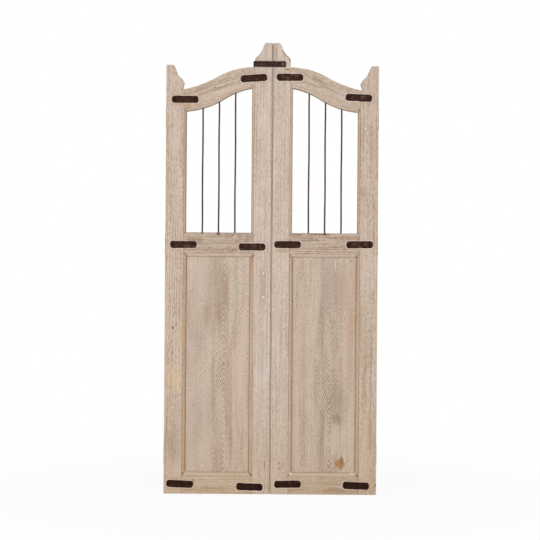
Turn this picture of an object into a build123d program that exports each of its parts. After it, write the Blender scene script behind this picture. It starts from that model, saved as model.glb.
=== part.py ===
"""A pair of timber garden gate leaves, in millimetres.

Each leaf has two stiles, an ogee top rail, a middle rail and a bottom rail, with tenons
in the stiles and an ovolo moulding mitred at the corners. A flat panel fills the lower part
and three iron bars the open upper part. Iron straps are let in over the joints, butt
hinges hang each leaf from its outer edge, and an iron latch turns on a screw in the right
leaf and hooks round the left one.

The gate closes in the XZ plane, with +X to the right seen from the front, the front face
towards -Y and +Z up. The origin is at ground level, midway between the leaves.
"""
from math import cos, pi, sin
import os

from build123d import *

os.makedirs("parts", exist_ok=True)

# Leaves
leaf_width = 499.5
thickness = 44
edge_round = 2.5

# Meeting edges: nearly closed at the back, splayed at the front so that a leaf swings clear
meeting_gap = 1
meeting_splay = 2.3
meeting_round = 1.2

# Panel, middle rail and window, from the ground up, at their sight edges
panel_bottom = 102
panel_height = 1014
mid_rail_height = 114
window_height = 571

# The ogee rail: its rise towards the meeting stile, and its depth at each stile
arch_rise = 110
rail_depth_outer = 102
rail_depth_meeting = 98
# Where each edge turns from crown to hollow, as shares of its run and of its drop
top_edge_bend = (0.52, 0.43)
lower_edge_bend = (0.41, 0.445)
lower_edge_slope = 10

# Finials
finial_height = 114
finial_flat = 33
finial_nick = 3
neck_height = 28
neck_cove = 6
# Along the cheek's two curves: how far in from the stile's edge, and how far above the neck
cheek_end = (11, 22)
hollow_end = (37, 60)

# Face widths and moulding
stile_face = 84
window_moulding = 12
panel_moulding = 16
quirk = 2
quirk_flat = 1
moulding_depth = 11
ovolo_facets = 3
joint_line = 0.8

# Joinery
tenon_length = 60
tenon_thickness = 14
tenon_shoulder = 14

# Panel
panel_recess = 16
panel_thickness = 12
panel_tongue = 10
groove_depth = 12
groove_play = 0.3

# Bars
bar_count = 3
bar_radius = 4
bar_socket = 24
bar_play = 0.15

# Straps over the joints
strap_length = 125
strap_height = 34
strap_thickness = 4
strap_clip = 8
strap_let_in = 2.5
strap_play = 1
strap_edge = 0.8
bottom_strap_lift = 3
top_outer_strap_rise = 0.6
top_meeting_strap_rise = 0.5
nail_inset = 14
nail_radius = 2.2
nail_length = 28
nail_head_radius = 5
nail_head_height = 1.8

# Butt hinges, let into the stile's edge by nearly their whole thickness
hinge_length = 100
hinge_width = 32
hinge_plate = 2.5
hinge_gap = 2
hinge_let_in = 3
hinge_play = 0.5
knuckle_radius = 5
knuckle_count = 5
knuckle_play = 0.3
knuckle_clear = 0.5
pin_radius = 2.5
pin_play = 0.05
pin_head_radius = 4.2
pin_head_height = 4
hinge_hole_radius = 2.75
hinge_hole_sink = 4.25
hinge_screw_radius = 2.25
wall_hole_rows = 50
leaf_hole_rows = 70
hinge_hole_columns = 16
hinge_screw_length = 32
hinge_below_arch = 31
hinge_above_panel_foot = 88

# Latch
latch_height = 28
latch_plate = 5
latch_play = 0.4
latch_hook_gap = 2
latch_hook_depth = 34
latch_pivot = 48
latch_tail = 14
latch_corner = 6
latch_seat = 0.3
latch_screw_radius = 4
latch_screw_play = 0.05
latch_screw_length = 32
latch_head_radius = 8
latch_head_height = 4
latch_slot_width = 2
latch_slot_depth = 1.6
latch_slot_angle = 48

# Worked out from the sizes above
front = -thickness / 2
back = thickness / 2
inner_edge = meeting_gap / 2
outer_edge = inner_edge + leaf_width
meeting_face = inner_edge + stile_face
outer_face = outer_edge - stile_face
panel_top = panel_bottom + panel_height
sill = panel_top + mid_rail_height
arch_outer = sill + window_height
arch_meeting = arch_outer + arch_rise
shoulder_outer = arch_outer + rail_depth_outer
shoulder_meeting = arch_meeting + rail_depth_meeting
window_meeting = meeting_face + window_moulding
window_outer = outer_face - window_moulding
panel_meeting = meeting_face + panel_moulding
panel_outer = outer_face - panel_moulding
bottom_face_top = panel_bottom - panel_moulding
mid_face_bottom = panel_top + panel_moulding
mid_face_top = sill - window_moulding
arch_face_outer = arch_outer + window_moulding
arch_face_meeting = arch_meeting + window_moulding
tenon_front = front + (thickness - tenon_thickness) / 2
hinge_face = outer_edge - hinge_let_in
hinge_axis_x = hinge_face + hinge_gap / 2
hinge_axis_y = back + knuckle_clear + knuckle_radius
hinge_heights = {
    "top": arch_outer - hinge_below_arch,
    "mid": (mid_face_bottom + mid_face_top) / 2,
    "bottom": panel_bottom + hinge_above_panel_foot,
}

SIDES = {"left": -1, "right": 1}

# How each strap was nailed on by eye: its shift along X, its lift and its tilt in degrees
strap_set = {
    -1: {
        "top_outer": (5, -7, 0), "top_meeting": (-4, -3, 4),
        "mid_outer": (2, -3, 0), "mid_meeting": (-6, -12, 0),
        "bottom_outer": (-8, 0, -2), "bottom_meeting": (-11, -12, -1.5),
    },
    1: {
        "top_outer": (-10, 6, -2.5), "top_meeting": (-3, 2, 0),
        "mid_outer": (-1, 2, 0.5), "mid_meeting": (-9, 0, 0),
        "bottom_outer": (-11, -3, -2), "bottom_meeting": (-1, 2, 1),
    },
}


def upright(y):
    """A vertical sketch plane facing the front, at depth y."""
    return Plane.XZ.offset(-y)


def ogee(start, end, bend_shares, slope, side):
    """Two tangent arcs from the meeting stile's side down to the outer stile's."""
    run = end[0] - start[0]
    drop = start[1] - end[1]
    bend = (side * (start[0] + bend_shares[0] * run), start[1] - bend_shares[1] * drop)
    angle = slope * pi / 180
    crown = TangentArc((side * start[0], start[1]), bend, tangent=(side * cos(angle), -sin(angle)))
    TangentArc(bend, (side * end[0], end[1]), tangent=crown % 1)


def rail_top_edge(side):
    ogee((meeting_face, shoulder_meeting), (outer_face, shoulder_outer), top_edge_bend, 0, side)


def rail_lower_edge(side):
    start, end = (window_meeting, arch_meeting), (window_outer, arch_outer)
    ogee(start, end, lower_edge_bend, lower_edge_slope, side)


def window_opening(side):
    """The open upper part of a leaf, at its sight edges."""
    with BuildSketch() as opening:
        with BuildLine():
            rail_lower_edge(side)
            Polyline(
                (side * window_outer, arch_outer),
                (side * window_outer, sill),
                (side * window_meeting, sill),
                (side * window_meeting, arch_meeting),
            )
        make_face()
    return opening.sketch


def panel_opening(side):
    with BuildSketch() as opening:
        with Locations((side * (panel_meeting + panel_outer) / 2, (panel_bottom + panel_top) / 2)):
            Rectangle(panel_outer - panel_meeting, panel_top - panel_bottom)
    return opening.sketch


def grow(outline, amount):
    """An outline grown all round, with its corners kept sharp."""
    if amount < 0.001:
        return outline
    return offset(outline, amount=amount, kind=Kind.INTERSECTION, mode=Mode.PRIVATE)


def moulding_cutter(opening, width):
    """What the quirk and the ovolo take from the front arris all round an opening."""
    round_width = width - quirk_flat
    steps = [n * pi / 2 / ovolo_facets for n in range(ovolo_facets + 1)]
    depths = [front + quirk + moulding_depth * (1 - cos(t)) for t in steps]
    grown = [round_width * (1 - sin(t)) for t in steps]
    with BuildPart() as cutter:
        with BuildSketch(upright(front + quirk)):
            add(grow(opening, width))
        extrude(amount=quirk + 1)
        for n in range(ovolo_facets):
            for level in (n, n + 1):
                with BuildSketch(upright(depths[level])):
                    add(grow(opening, grown[level]))
            loft(ruled=True)
    return cutter.part


def panel_pocket(side):
    """The groove that takes the panel's edges, as one slab through all four members."""
    width = panel_outer - panel_meeting + 2 * groove_depth
    low = panel_bottom - panel_tongue
    high = panel_top + groove_depth
    with BuildPart() as pocket:
        with BuildSketch(upright(front + panel_recess - groove_play)):
            with Locations((side * (panel_meeting + panel_outer) / 2, (low + high) / 2)):
                Rectangle(width, high - low)
        extrude(amount=-(panel_thickness + 2 * groove_play))
    return pocket.part


def strap_places(side):
    """Each strap's name, middle in X and Z, and tilt, near the rails' shoulder lines."""
    bottom_middle = bottom_face_top / 2 + bottom_strap_lift
    mid_middle = (mid_face_bottom + mid_face_top) / 2
    top_outer_middle = arch_outer + top_outer_strap_rise * rail_depth_outer
    top_meeting_middle = arch_meeting + top_meeting_strap_rise * rail_depth_meeting
    levels = {
        "top_outer": (outer_face, top_outer_middle),
        "top_meeting": (meeting_face, top_meeting_middle),
        "mid_outer": (outer_face, mid_middle),
        "mid_meeting": (meeting_face, mid_middle),
        "bottom_outer": (outer_face, bottom_middle),
        "bottom_meeting": (meeting_face, bottom_middle),
    }
    places = {}
    for name, (x, z) in levels.items():
        along, lift, tilt = strap_set[side][name]
        places[name] = (side * x + along, z + lift, tilt)
    return places


def strap_outline():
    """A flat strap with clipped corners."""
    with BuildSketch() as outline:
        Rectangle(strap_length, strap_height)
        chamfer(outline.vertices(), strap_clip)
    return outline.sketch


def placed(x, z, tilt, y):
    """A sketch plane facing the front at x, y and z, turned by tilt degrees."""
    return Plane(origin=(x, y, z), x_dir=(cos(tilt * pi / 180), 0, sin(tilt * pi / 180)), z_dir=(0, -1, 0))


def nail_spots():
    reach = strap_length / 2 - nail_inset
    return [(-reach, 0), (reach, 0)]


strap_seat = front + strap_let_in


def strap_cutter(side):
    """The shallow housings of a leaf's straps, with the holes of their nails."""
    with BuildPart() as cutter:
        for x, z, tilt in strap_places(side).values():
            with BuildSketch(placed(x, z, tilt, strap_seat)):
                add(grow(strap_outline(), strap_play))
            extrude(amount=strap_let_in + 1)
            with BuildSketch(placed(x, z, tilt, strap_seat)):
                with Locations(*nail_spots()):
                    Circle(nail_radius)
            extrude(amount=-(nail_length - strap_thickness))
    return cutter.part


def strap(side, place):
    x, z, tilt = strap_places(side)[place]
    with BuildPart() as plate:
        with BuildSketch(placed(x, z, tilt, strap_seat)):
            add(strap_outline())
        extrude(amount=strap_thickness)
        face_edges = plate.faces().sort_by(Axis.Y)[0].edges()
        chamfer(face_edges, strap_edge)
        with BuildSketch(placed(x, z, tilt, strap_seat)):
            with Locations(*nail_spots()):
                Circle(nail_radius)
        extrude(amount=strap_thickness, mode=Mode.SUBTRACT)
    return plate.part


def strap_nails(side):
    """The hammered nails of all six straps of a leaf, as separate solids."""
    face = strap_seat - strap_thickness
    with BuildPart() as nail:
        with BuildSketch(Plane.XZ):
            with BuildLine():
                Polyline(
                    (0, nail_head_height), (0, strap_thickness - nail_length),
                    (nail_radius, strap_thickness - nail_length), (nail_radius, 0),
                    (nail_head_radius, 0), (nail_head_radius * 0.65, nail_head_height * 0.75),
                    (0, nail_head_height),
                )
            make_face()
        revolve(axis=Axis.Z)
    with BuildPart() as nails:
        for x, z, tilt in strap_places(side).values():
            with Locations(placed(x, z, tilt, face)):
                with Locations(*[(a, b, 0) for a, b in nail_spots()]):
                    add(nail.part)
    return nails.part


def hinge_screw_spots(z, own="leaf"):
    """Places along Y and Z of one plate's screw holes: the wall's stand inside the leaf's."""
    middle = back - hinge_width / 2
    rows = leaf_hole_rows if own == "leaf" else wall_hole_rows
    return [
        (middle + a * hinge_hole_columns / 2, z + b * rows / 2)
        for a in (-1, 1) for b in (-1, 1)
    ]


def hinge_plane(side, distance):
    """A plane across X at a distance from the middle, facing away from it; x is Y, y is Z."""
    return Plane(origin=(side * distance, 0, 0), x_dir=(0, side, 0), z_dir=(side, 0, 0))


def hinge_screws(side, z):
    """Countersunk screws, one for each hole of a leaf's plate."""
    sink = hinge_hole_sink - hinge_hole_radius
    with BuildPart() as screws:
        for y, height in hinge_screw_spots(z):
            with BuildSketch(hinge_plane(side, hinge_face)):
                with Locations((side * y, height)):
                    Circle(hinge_screw_radius)
            extrude(amount=-hinge_screw_length)
            with BuildSketch(hinge_plane(side, hinge_face)):
                with Locations((side * y, height)):
                    Circle(hinge_hole_sink)
            with BuildSketch(hinge_plane(side, hinge_face - sink)):
                with Locations((side * y, height)):
                    Circle(hinge_hole_radius)
            loft()
    return screws.part


def knuckles(side, z, own):
    """Knuckle barrels and their tabs, on one plate's own places, counted from below."""
    pitch = hinge_length / knuckle_count
    plate_near = hinge_face if own == "leaf" else hinge_face + hinge_gap
    plate_far = plate_near - hinge_plate if own == "leaf" else plate_near + hinge_plate
    first = 1 if own == "leaf" else 0
    with BuildPart() as barrels:
        for k in range(first, knuckle_count, 2):
            low = z - hinge_length / 2 + k * pitch + knuckle_play / 2
            with BuildSketch(Plane.XY.offset(low)):
                with Locations((side * hinge_axis_x, hinge_axis_y)):
                    Circle(knuckle_radius)
                with Locations((side * (plate_near + plate_far) / 2, (back + hinge_axis_y) / 2)):
                    Rectangle(hinge_plate, hinge_axis_y - back)
                with Locations((side * hinge_axis_x, hinge_axis_y)):
                    Circle(pin_radius + pin_play, mode=Mode.SUBTRACT)
            extrude(amount=pitch - knuckle_play)
    return barrels.part


def hinge_plate_part(side, z, own):
    """One plate of a butt hinge with its knuckles: the leaf's, or the wall's."""
    face = hinge_face if own == "leaf" else hinge_face + hinge_gap
    outward = -1 if own == "leaf" else 1
    with BuildPart() as plate:
        with BuildSketch(hinge_plane(side, face)):
            with Locations((side * (back - hinge_width / 2), z)):
                Rectangle(hinge_width, hinge_length)
        extrude(amount=outward * hinge_plate)
        add(knuckles(side, z, own))
        sink = hinge_hole_sink - hinge_hole_radius
        for y, height in hinge_screw_spots(z, own):
            with BuildSketch(hinge_plane(side, face)):
                with Locations((side * y, height)):
                    Circle(hinge_hole_radius)
            extrude(amount=outward * hinge_plate, mode=Mode.SUBTRACT)
            with BuildSketch(hinge_plane(side, face)):
                with Locations((side * y, height)):
                    Circle(hinge_hole_sink)
            with BuildSketch(hinge_plane(side, face + outward * sink)):
                with Locations((side * y, height)):
                    Circle(hinge_hole_radius)
            loft(mode=Mode.SUBTRACT)
    return plate.part


def hinge_pin(side, z):
    with BuildPart() as pin:
        with BuildSketch(Plane.XY.offset(z - hinge_length / 2)):
            with Locations((side * hinge_axis_x, hinge_axis_y)):
                Circle(pin_radius)
        extrude(amount=hinge_length)
        with BuildSketch(Plane.XY.offset(z + hinge_length / 2 - knuckle_play / 2)):
            with Locations((side * hinge_axis_x, hinge_axis_y)):
                Circle(pin_head_radius)
        extrude(amount=pin_head_height)
        chamfer(pin.edges().group_by(Axis.Z)[-1], pin_head_height * 0.3)
    return pin.part


def hinge_cutter(side):
    """Housings of the hinge plates in the outer stile's edge, with their screw holes."""
    seat = hinge_face - hinge_plate
    with BuildPart() as cutter:
        for z in hinge_heights.values():
            with BuildSketch(hinge_plane(side, seat)):
                with Locations((side * (back - hinge_width / 2), z)):
                    Rectangle(hinge_width + 2 * hinge_play, hinge_length + 2 * hinge_play)
            extrude(amount=outer_edge - seat + 1)
            for y, height in hinge_screw_spots(z):
                with BuildSketch(hinge_plane(side, seat)):
                    with Locations((side * y, height)):
                        Circle(hinge_screw_radius)
                extrude(amount=-(hinge_screw_length - hinge_plate))
    return cutter.part


def tenon(side, place, low, high):
    """One tenon, from a rail's shoulder into its stile; also the mortise that takes it."""
    inward = -1 if place == "meeting" else 1
    shoulder = meeting_face if place == "meeting" else outer_face
    with BuildPart() as tongue:
        with BuildSketch(upright(tenon_front)):
            with Locations((side * (shoulder + inward * tenon_length / 2), (low + high) / 2)):
                Rectangle(tenon_length, high - low)
        extrude(amount=-tenon_thickness)
    return tongue.part


def tenons(side, place):
    """The three tenons that enter one stile, from the bottom up."""
    if place == "meeting":
        top = (arch_face_meeting, shoulder_meeting)
    else:
        top = (arch_face_outer, shoulder_outer)
    spans = {
        "bottom": (tenon_shoulder, bottom_face_top - tenon_shoulder),
        "mid": (mid_face_bottom + tenon_shoulder, mid_face_top - tenon_shoulder),
        "top": (top[0] + tenon_shoulder, top[1] - tenon_shoulder),
    }
    return {name: tenon(side, place, low, high) for name, (low, high) in spans.items()}


def bar_places(side):
    pitch = (window_outer - window_meeting) / (bar_count + 1)
    return [side * (window_meeting + pitch * (n + 1)) for n in range(bar_count)]


def bar(x, top, radius):
    """A round bar from its socket in the middle rail up to a height."""
    low = sill - bar_socket
    with BuildPart() as rod:
        with BuildSketch(Plane.XY.offset(low)):
            with Locations((x, 0)):
                Circle(radius)
        extrude(amount=top - low)
    return rod.part


def arch_height(side, x):
    """Height of the arch's lower edge at x, where a plumb line meets it."""
    with BuildLine() as arch:
        rail_lower_edge(side)
    with BuildLine() as plumb:
        Line((x, sill), (x, shoulder_meeting))
    hits = [arc.intersect(plumb.edge()) for arc in arch.edges()]
    return max(point.Y for found in hits if found for point in found.vertices())


def bar_sockets(side):
    """Round sockets for the ends of a leaf's bars, in the middle rail and the arch."""
    with BuildPart() as sockets:
        for x in bar_places(side):
            add(bar(x, arch_height(side, x) + bar_socket, bar_radius + bar_play))
    return sockets.part


def finial(across, shoulder, cove):
    """The sawn ogee end of a stile, from its rail's shoulder to its flat top.

    across gives a place along X for a distance from the stile's own outer edge.
    """
    neck = (across(stile_face), shoulder + neck_height)
    if cove:
        foot = (across(stile_face - cove), shoulder)
        Line((across(stile_face), shoulder), foot)
        ThreePointArc(foot, (across(stile_face - cove * 0.8), shoulder + neck_height / 2), neck)
    else:
        Line((across(stile_face), shoulder), neck)
    spots = [(across(stile_face - inward), neck[1] + up) for inward, up in (cheek_end, hollow_end)]
    cheek = TangentArc(neck, spots[0], tangent=(0, 1))
    hollow = TangentArc(cheek @ 1, spots[1], tangent=cheek % 1)
    brow_end = (across(finial_flat + finial_nick), shoulder + finial_height - finial_nick)
    brow = TangentArc(hollow @ 1, brow_end, tangent=hollow % 1)
    tip = shoulder + finial_height
    Polyline(brow @ 1, (across(finial_flat), tip), (across(0), tip))


def stile_outline(across, arch, arch_mitre, shoulder, cove):
    """A stile seen from the front: full width between rails, cut back where they join."""
    window_edge = stile_face + window_moulding
    panel_edge = stile_face + panel_moulding
    with BuildSketch() as outline:
        with BuildLine():
            Polyline(
                (across(0), shoulder + finial_height), (across(0), 0),
                (across(stile_face), 0), (across(stile_face), bottom_face_top),
                (across(panel_edge), panel_bottom), (across(panel_edge), panel_top),
                (across(stile_face), mid_face_bottom), (across(stile_face), mid_face_top),
                (across(window_edge), sill), (across(window_edge), arch),
                (across(stile_face), arch_mitre), (across(stile_face), shoulder),
            )
            finial(across, shoulder, cove)
        make_face()
    return outline.sketch


def splay_wedge(side):
    """What is planed off a meeting stile's edge, so that its front clears the other leaf."""
    with BuildPart() as wedge:
        with BuildSketch():
            with BuildLine():
                Polyline(
                    (side * inner_edge, back), (side * (inner_edge + meeting_splay), front),
                    (side * (inner_edge - 1), front), (side * (inner_edge - 1), back), close=True,
                )
            make_face()
        extrude(amount=shoulder_meeting + finial_height)
    return wedge.part


def stile(side, place):
    """A stile, rounded on its outer arrises, with its mortises and housings."""
    if place == "meeting":
        def across(distance):
            return side * (inner_edge + distance)
        outline = stile_outline(across, arch_meeting, arch_face_meeting, shoulder_meeting, 0)
    else:
        def across(distance):
            return side * (outer_edge - distance)
        outline = stile_outline(across, arch_outer, arch_face_outer, shoulder_outer, neck_cove)
    with BuildPart() as board:
        with BuildSketch(upright(front)):
            add(outline)
        extrude(amount=-thickness)
        if place == "meeting":
            add(splay_wedge(side), mode=Mode.SUBTRACT)
        arrises = board.edges().filter_by(Axis.Z).sort_by(lambda e: abs(e.center().X - across(0)))[:2]
        fillet(arrises, meeting_round if place == "meeting" else edge_round)
        for tongue in tenons(side, place).values():
            add(tongue, mode=Mode.SUBTRACT)
        add(cutters[side], mode=Mode.SUBTRACT)
        if place == "outer":
            add(hinge_cutter(side), mode=Mode.SUBTRACT)
    return board.part


def rail(side, name, outline):
    """A rail with its two tenons, cut by the mouldings, groove, sockets and housings."""
    with BuildPart() as board:
        with BuildSketch(upright(front)):
            add(outline)
        extrude(amount=-thickness)
        ends = board.faces().sort_by(Axis.Y)[0].edges().filter_by(Axis.Z)
        chamfer(ends, joint_line)
        for place in ("meeting", "outer"):
            add(tenons(side, place)[name])
        add(cutters[side], mode=Mode.SUBTRACT)
    return board.part


def bottom_rail_outline(side):
    with BuildSketch() as outline:
        with BuildLine():
            Polyline(
                (side * meeting_face, 0), (side * outer_face, 0),
                (side * outer_face, bottom_face_top), (side * panel_outer, panel_bottom),
                (side * panel_meeting, panel_bottom), (side * meeting_face, bottom_face_top),
                close=True,
            )
        make_face()
    return outline.sketch


def mid_rail_outline(side):
    with BuildSketch() as outline:
        with BuildLine():
            Polyline(
                (side * meeting_face, mid_face_bottom), (side * panel_meeting, panel_top),
                (side * panel_outer, panel_top), (side * outer_face, mid_face_bottom),
                (side * outer_face, mid_face_top), (side * window_outer, sill),
                (side * window_meeting, sill), (side * meeting_face, mid_face_top),
                close=True,
            )
        make_face()
    return outline.sketch


def top_rail_outline(side):
    with BuildSketch() as outline:
        with BuildLine():
            rail_top_edge(side)
            Polyline(
                (side * outer_face, shoulder_outer), (side * outer_face, arch_face_outer),
                (side * window_outer, arch_outer),
            )
            rail_lower_edge(side)
            Polyline(
                (side * window_meeting, arch_meeting), (side * meeting_face, arch_face_meeting),
                (side * meeting_face, shoulder_meeting),
            )
        make_face()
    return outline.sketch


def leaf_cutter(side):
    """All that is cut through a leaf's members after they are sawn to shape."""
    with BuildPart() as cutter:
        add(moulding_cutter(window_opening(side), window_moulding))
        add(moulding_cutter(panel_opening(side), panel_moulding))
        add(panel_pocket(side))
        add(strap_cutter(side))
        add(bar_sockets(side))
    return cutter.part


cutters = {side: leaf_cutter(side) for side in SIDES.values()}


def save(part, name):
    part.label = name
    export_step(part, f"parts/{name}.step")


def panel(side):
    width = panel_outer - panel_meeting + 2 * panel_tongue
    low = panel_bottom - panel_tongue
    high = panel_top + panel_tongue
    with BuildPart() as board:
        with BuildSketch(upright(front + panel_recess)):
            with Locations((side * (panel_meeting + panel_outer) / 2, (low + high) / 2)):
                Rectangle(width, high - low)
        extrude(amount=-panel_thickness)
    return board.part


def latch():
    """The iron strap across both finials, hooked round the left one and turning on its screw."""
    plate_back = front - latch_play
    hook_inside = -(meeting_face + latch_hook_gap)
    low = shoulder_meeting + latch_seat
    right_end = latch_pivot + latch_tail
    left_end = hook_inside - latch_plate
    with BuildPart() as strap_part:
        with BuildSketch(upright(plate_back)):
            with Locations(((left_end + right_end) / 2, low + latch_height / 2)):
                Rectangle(right_end - left_end, latch_height)
        extrude(amount=latch_plate)
        tail = strap_part.edges().filter_by(Axis.Y).group_by(Axis.X)[-1]
        fillet(tail, latch_corner)
        with BuildSketch(Plane.XY.offset(low)):
            with Locations(((left_end + hook_inside) / 2, plate_back + latch_hook_depth / 2)):
                Rectangle(latch_plate, latch_hook_depth)
        extrude(amount=latch_height)
        bend = strap_part.edges().filter_by(Axis.Z).sort_by(lambda e: e.center().X + e.center().Y)[0]
        fillet(bend, latch_plate * 0.9)
        with BuildSketch(upright(plate_back)):
            with Locations((latch_pivot, low + latch_height / 2)):
                Circle(latch_screw_radius + latch_screw_play)
        extrude(amount=latch_plate, mode=Mode.SUBTRACT)
    return strap_part.part


def latch_screw():
    """The latch's round-head screw, with a slot across its head."""
    height = shoulder_meeting + latch_seat + latch_height / 2
    seat = front - latch_play - latch_plate - latch_play
    with BuildPart() as screw:
        with BuildSketch(placed(latch_pivot, height, 0, seat)):
            Circle(latch_screw_radius)
        extrude(amount=-(latch_screw_length + latch_plate))
        with BuildSketch(placed(latch_pivot, height, 0, seat)):
            Circle(latch_head_radius)
        extrude(amount=latch_head_height)
        rim = screw.edges().filter_by(GeomType.CIRCLE).sort_by(Axis.Y)[0]
        chamfer(rim, latch_head_height * 0.45)
        with BuildSketch(placed(latch_pivot, height, latch_slot_angle, seat - latch_head_height)):
            Rectangle(3 * latch_head_radius, latch_slot_width)
        extrude(amount=-latch_slot_depth, mode=Mode.SUBTRACT)
    return screw.part


for side_name, side in SIDES.items():
    for place in ("outer", "meeting"):
        member = stile(side, place)
        if (side_name, place) == ("right", "meeting"):
            with BuildPart() as bored:
                add(member)
                add(latch_screw(), mode=Mode.SUBTRACT)
            member = bored.part
        save(member, f"{side_name}_{place}_stile")
    save(rail(side, "bottom", bottom_rail_outline(side)), f"{side_name}_bottom_rail")
    save(rail(side, "mid", mid_rail_outline(side)), f"{side_name}_mid_rail")
    save(rail(side, "top", top_rail_outline(side)), f"{side_name}_top_rail")
    save(panel(side), f"{side_name}_panel")
    for number, x in enumerate(bar_places(side), start=1):
        save(bar(x, arch_height(side, x) + bar_socket - bar_play, bar_radius), f"{side_name}_bar_{number}")
    for place in strap_places(side):
        save(strap(side, place), f"{side_name}_strap_{place}")
    save(strap_nails(side), f"{side_name}_strap_nails")
    with BuildPart() as screws:
        for z in hinge_heights.values():
            add(hinge_screws(side, z))
    save(screws.part, f"{side_name}_hinge_screws")
    for level, z in hinge_heights.items():
        save(hinge_plate_part(side, z, "leaf"), f"{side_name}_hinge_{level}_leaf_plate")
        save(hinge_plate_part(side, z, "wall"), f"{side_name}_hinge_{level}_wall_plate")
        save(hinge_pin(side, z), f"{side_name}_hinge_{level}_pin")

save(latch(), "latch_strap")
save(latch_screw(), "latch_screw")
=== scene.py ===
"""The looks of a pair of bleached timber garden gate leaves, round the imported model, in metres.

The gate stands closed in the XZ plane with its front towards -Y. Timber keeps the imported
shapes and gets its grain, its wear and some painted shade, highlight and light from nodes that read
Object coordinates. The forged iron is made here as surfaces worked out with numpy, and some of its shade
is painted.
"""

import logging
import math
from dataclasses import dataclass, field
from enum import Enum
from functools import reduce
from typing import Sequence, Union

import bmesh
import bpy
import numpy as np
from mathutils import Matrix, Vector


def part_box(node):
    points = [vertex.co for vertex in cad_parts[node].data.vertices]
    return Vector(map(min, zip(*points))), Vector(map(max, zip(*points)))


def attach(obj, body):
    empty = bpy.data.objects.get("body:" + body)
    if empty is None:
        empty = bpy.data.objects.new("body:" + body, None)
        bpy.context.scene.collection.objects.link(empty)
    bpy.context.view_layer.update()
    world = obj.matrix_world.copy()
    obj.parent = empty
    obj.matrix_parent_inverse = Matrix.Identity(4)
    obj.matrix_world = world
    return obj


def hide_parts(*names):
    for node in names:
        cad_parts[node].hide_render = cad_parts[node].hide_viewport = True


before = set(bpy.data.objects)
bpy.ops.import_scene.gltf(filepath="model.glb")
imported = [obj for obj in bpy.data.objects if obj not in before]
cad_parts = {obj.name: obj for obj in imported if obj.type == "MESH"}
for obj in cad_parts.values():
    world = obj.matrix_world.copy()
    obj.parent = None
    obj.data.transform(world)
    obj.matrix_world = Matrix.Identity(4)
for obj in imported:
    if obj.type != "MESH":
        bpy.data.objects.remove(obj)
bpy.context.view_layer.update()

log = logging.getLogger("garden_gate")
Rgb = tuple[float, float, float]
Shown = tuple[int, int, int]
Socket = bpy.types.NodeSocket
Material = bpy.types.Material
Tree = bpy.types.NodeTree
Value = Union["Field", float]


class Leaf(Enum):
    """The two leaves, by the sign of X that they stand on."""

    LEFT = -1
    RIGHT = 1

    @property
    def word(self) -> str:
        """The leaf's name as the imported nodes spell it."""
        return self.name.lower()


class Grain(Enum):
    """Which way a board's fibres run, in degrees from upright towards +X."""

    UPRIGHT = 0.0
    LEVEL = 90.0
    OGEE_LEFT = 71.0
    OGEE_RIGHT = 109.0


def srgb(red: int, green: int, blue: int) -> Rgb:
    """Turns a screen colour into the linear one that shaders take.

    Args:
        red, green, blue: The colour as it shows, 0 to 255.

    Returns:
        The linear colour: c / 12.92 below 0.04045, else ((c + 0.055) / 1.055) to the 2.4.
    """
    shown = np.array([red, green, blue]) / 255
    linear = np.where(shown <= 0.04045, shown / 12.92, ((shown + 0.055) / 1.055) ** 2.4)
    return (float(linear[0]), float(linear[1]), float(linear[2]))


# Fields: numbers that the nodes work out at each point


@dataclass(frozen=True)
class Field:
    """A number worked out by the nodes at every point of a surface.

    Arithmetic on a field adds the math nodes for it, so a pattern reads as its formula.
    """

    tree: Tree
    socket: Socket

    def _join(self, operation: str, *values: Value) -> "Field":
        """Adds one math node over the values, in their order."""
        node = self.tree.nodes.new("ShaderNodeMath")
        node.operation = operation
        for place, value in enumerate(values):
            if isinstance(value, Field):
                self.tree.links.new(value.socket, node.inputs[place])
            else:
                node.inputs[place].default_value = value
        return Field(self.tree, node.outputs[0])

    def __add__(self, other: Value) -> "Field":
        """The sum."""
        return self._join("ADD", self, other)

    def __sub__(self, other: Value) -> "Field":
        """The difference."""
        return self._join("SUBTRACT", self, other)

    def __rsub__(self, other: float) -> "Field":
        """A number less the field."""
        return self._join("SUBTRACT", other, self)

    def __mul__(self, other: Value) -> "Field":
        """The product."""
        return self._join("MULTIPLY", self, other)

    __radd__ = __add__
    __rmul__ = __mul__

    def __pow__(self, other: float) -> "Field":
        """The power."""
        return self._join("POWER", self, other)

    def absolute(self) -> "Field":
        """The size without its sign."""
        return self._join("ABSOLUTE", self)

    def least(self, other: Value) -> "Field":
        """The smaller of the two."""
        return self._join("MINIMUM", self, other)

    def most(self, other: Value) -> "Field":
        """The larger of the two."""
        return self._join("MAXIMUM", self, other)

    def fraction(self) -> "Field":
        """What is left over the whole number below."""
        return self._join("FRACT", self)

    def over(self, limit: float) -> "Field":
        """1 above the limit, 0 below."""
        return self._join("GREATER_THAN", self, limit)

    def rise(self, low: float, high: float, top: float = 1.0) -> "Field":
        """A smooth step from 0 at low to top at high, either way round."""
        node = self.tree.nodes.new("ShaderNodeMapRange")
        node.interpolation_type = "SMOOTHSTEP"
        node.inputs["From Min"].default_value = low
        node.inputs["From Max"].default_value = high
        node.inputs["To Max"].default_value = top
        self.tree.links.new(self.socket, node.inputs["Value"])
        return Field(self.tree, node.outputs["Result"])

    def line(self, middle: float, half: float, strength: float = 1.0) -> "Field":
        """A soft line where the field is near middle, out to half each side."""
        return (self - middle).absolute().rise(half, half * 0.3, strength)


def hypotenuse(a: Field, b: Field) -> Field:
    """The length of (a, b), the root of their squares' sum."""
    return (a * a + b * b) ** 0.5


def turned(a: Field, b: Field, degrees: float) -> tuple[Field, Field]:
    """The offset (a, b) along and across a line at that angle: a cos + b sin, b cos - a sin."""
    cosine, sine = math.cos(math.radians(degrees)), math.sin(math.radians(degrees))
    return a * cosine + b * sine, b * cosine - a * sine


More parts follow.
